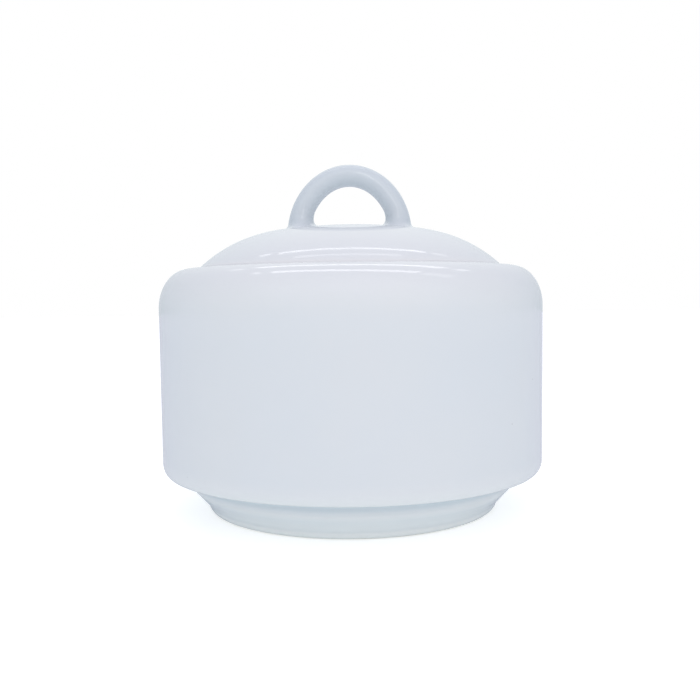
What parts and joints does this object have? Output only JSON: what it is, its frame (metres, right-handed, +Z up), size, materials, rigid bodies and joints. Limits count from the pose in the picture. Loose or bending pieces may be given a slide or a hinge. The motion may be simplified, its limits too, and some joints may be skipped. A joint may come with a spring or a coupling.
{
  "type": "sugar bowl",
  "caption": "Drum-shaped white porcelain sugar bowl on a flared foot, with a domed lift-off lid that has an arched loop handle.",
  "frame": {"origin": "on the bowl's axis, in the plane that the foot ring rests on", "axes": "+Z up along the bowl's axis; the lid's handle arches over along X, and its loop opens towards -Y and +Y"},
  "size_m": [0.098, 0.098, 0.0882],
  "materials": {
    "porcelain_bowl": "glossy",
    "porcelain_lid": "glossy"
  },
  "bodies": {
    "bowl": {"bowl": "porcelain_bowl"},
    "lid": {"lid": "porcelain_lid", "lid_handle": "porcelain_lid"}
  },
  "joints": [
    {"name": "lid_lift", "type": "slide", "parent": "bowl", "child": "lid", "axis": [0, 0, 1], "range_m": [0, 0.1]}
  ]
}
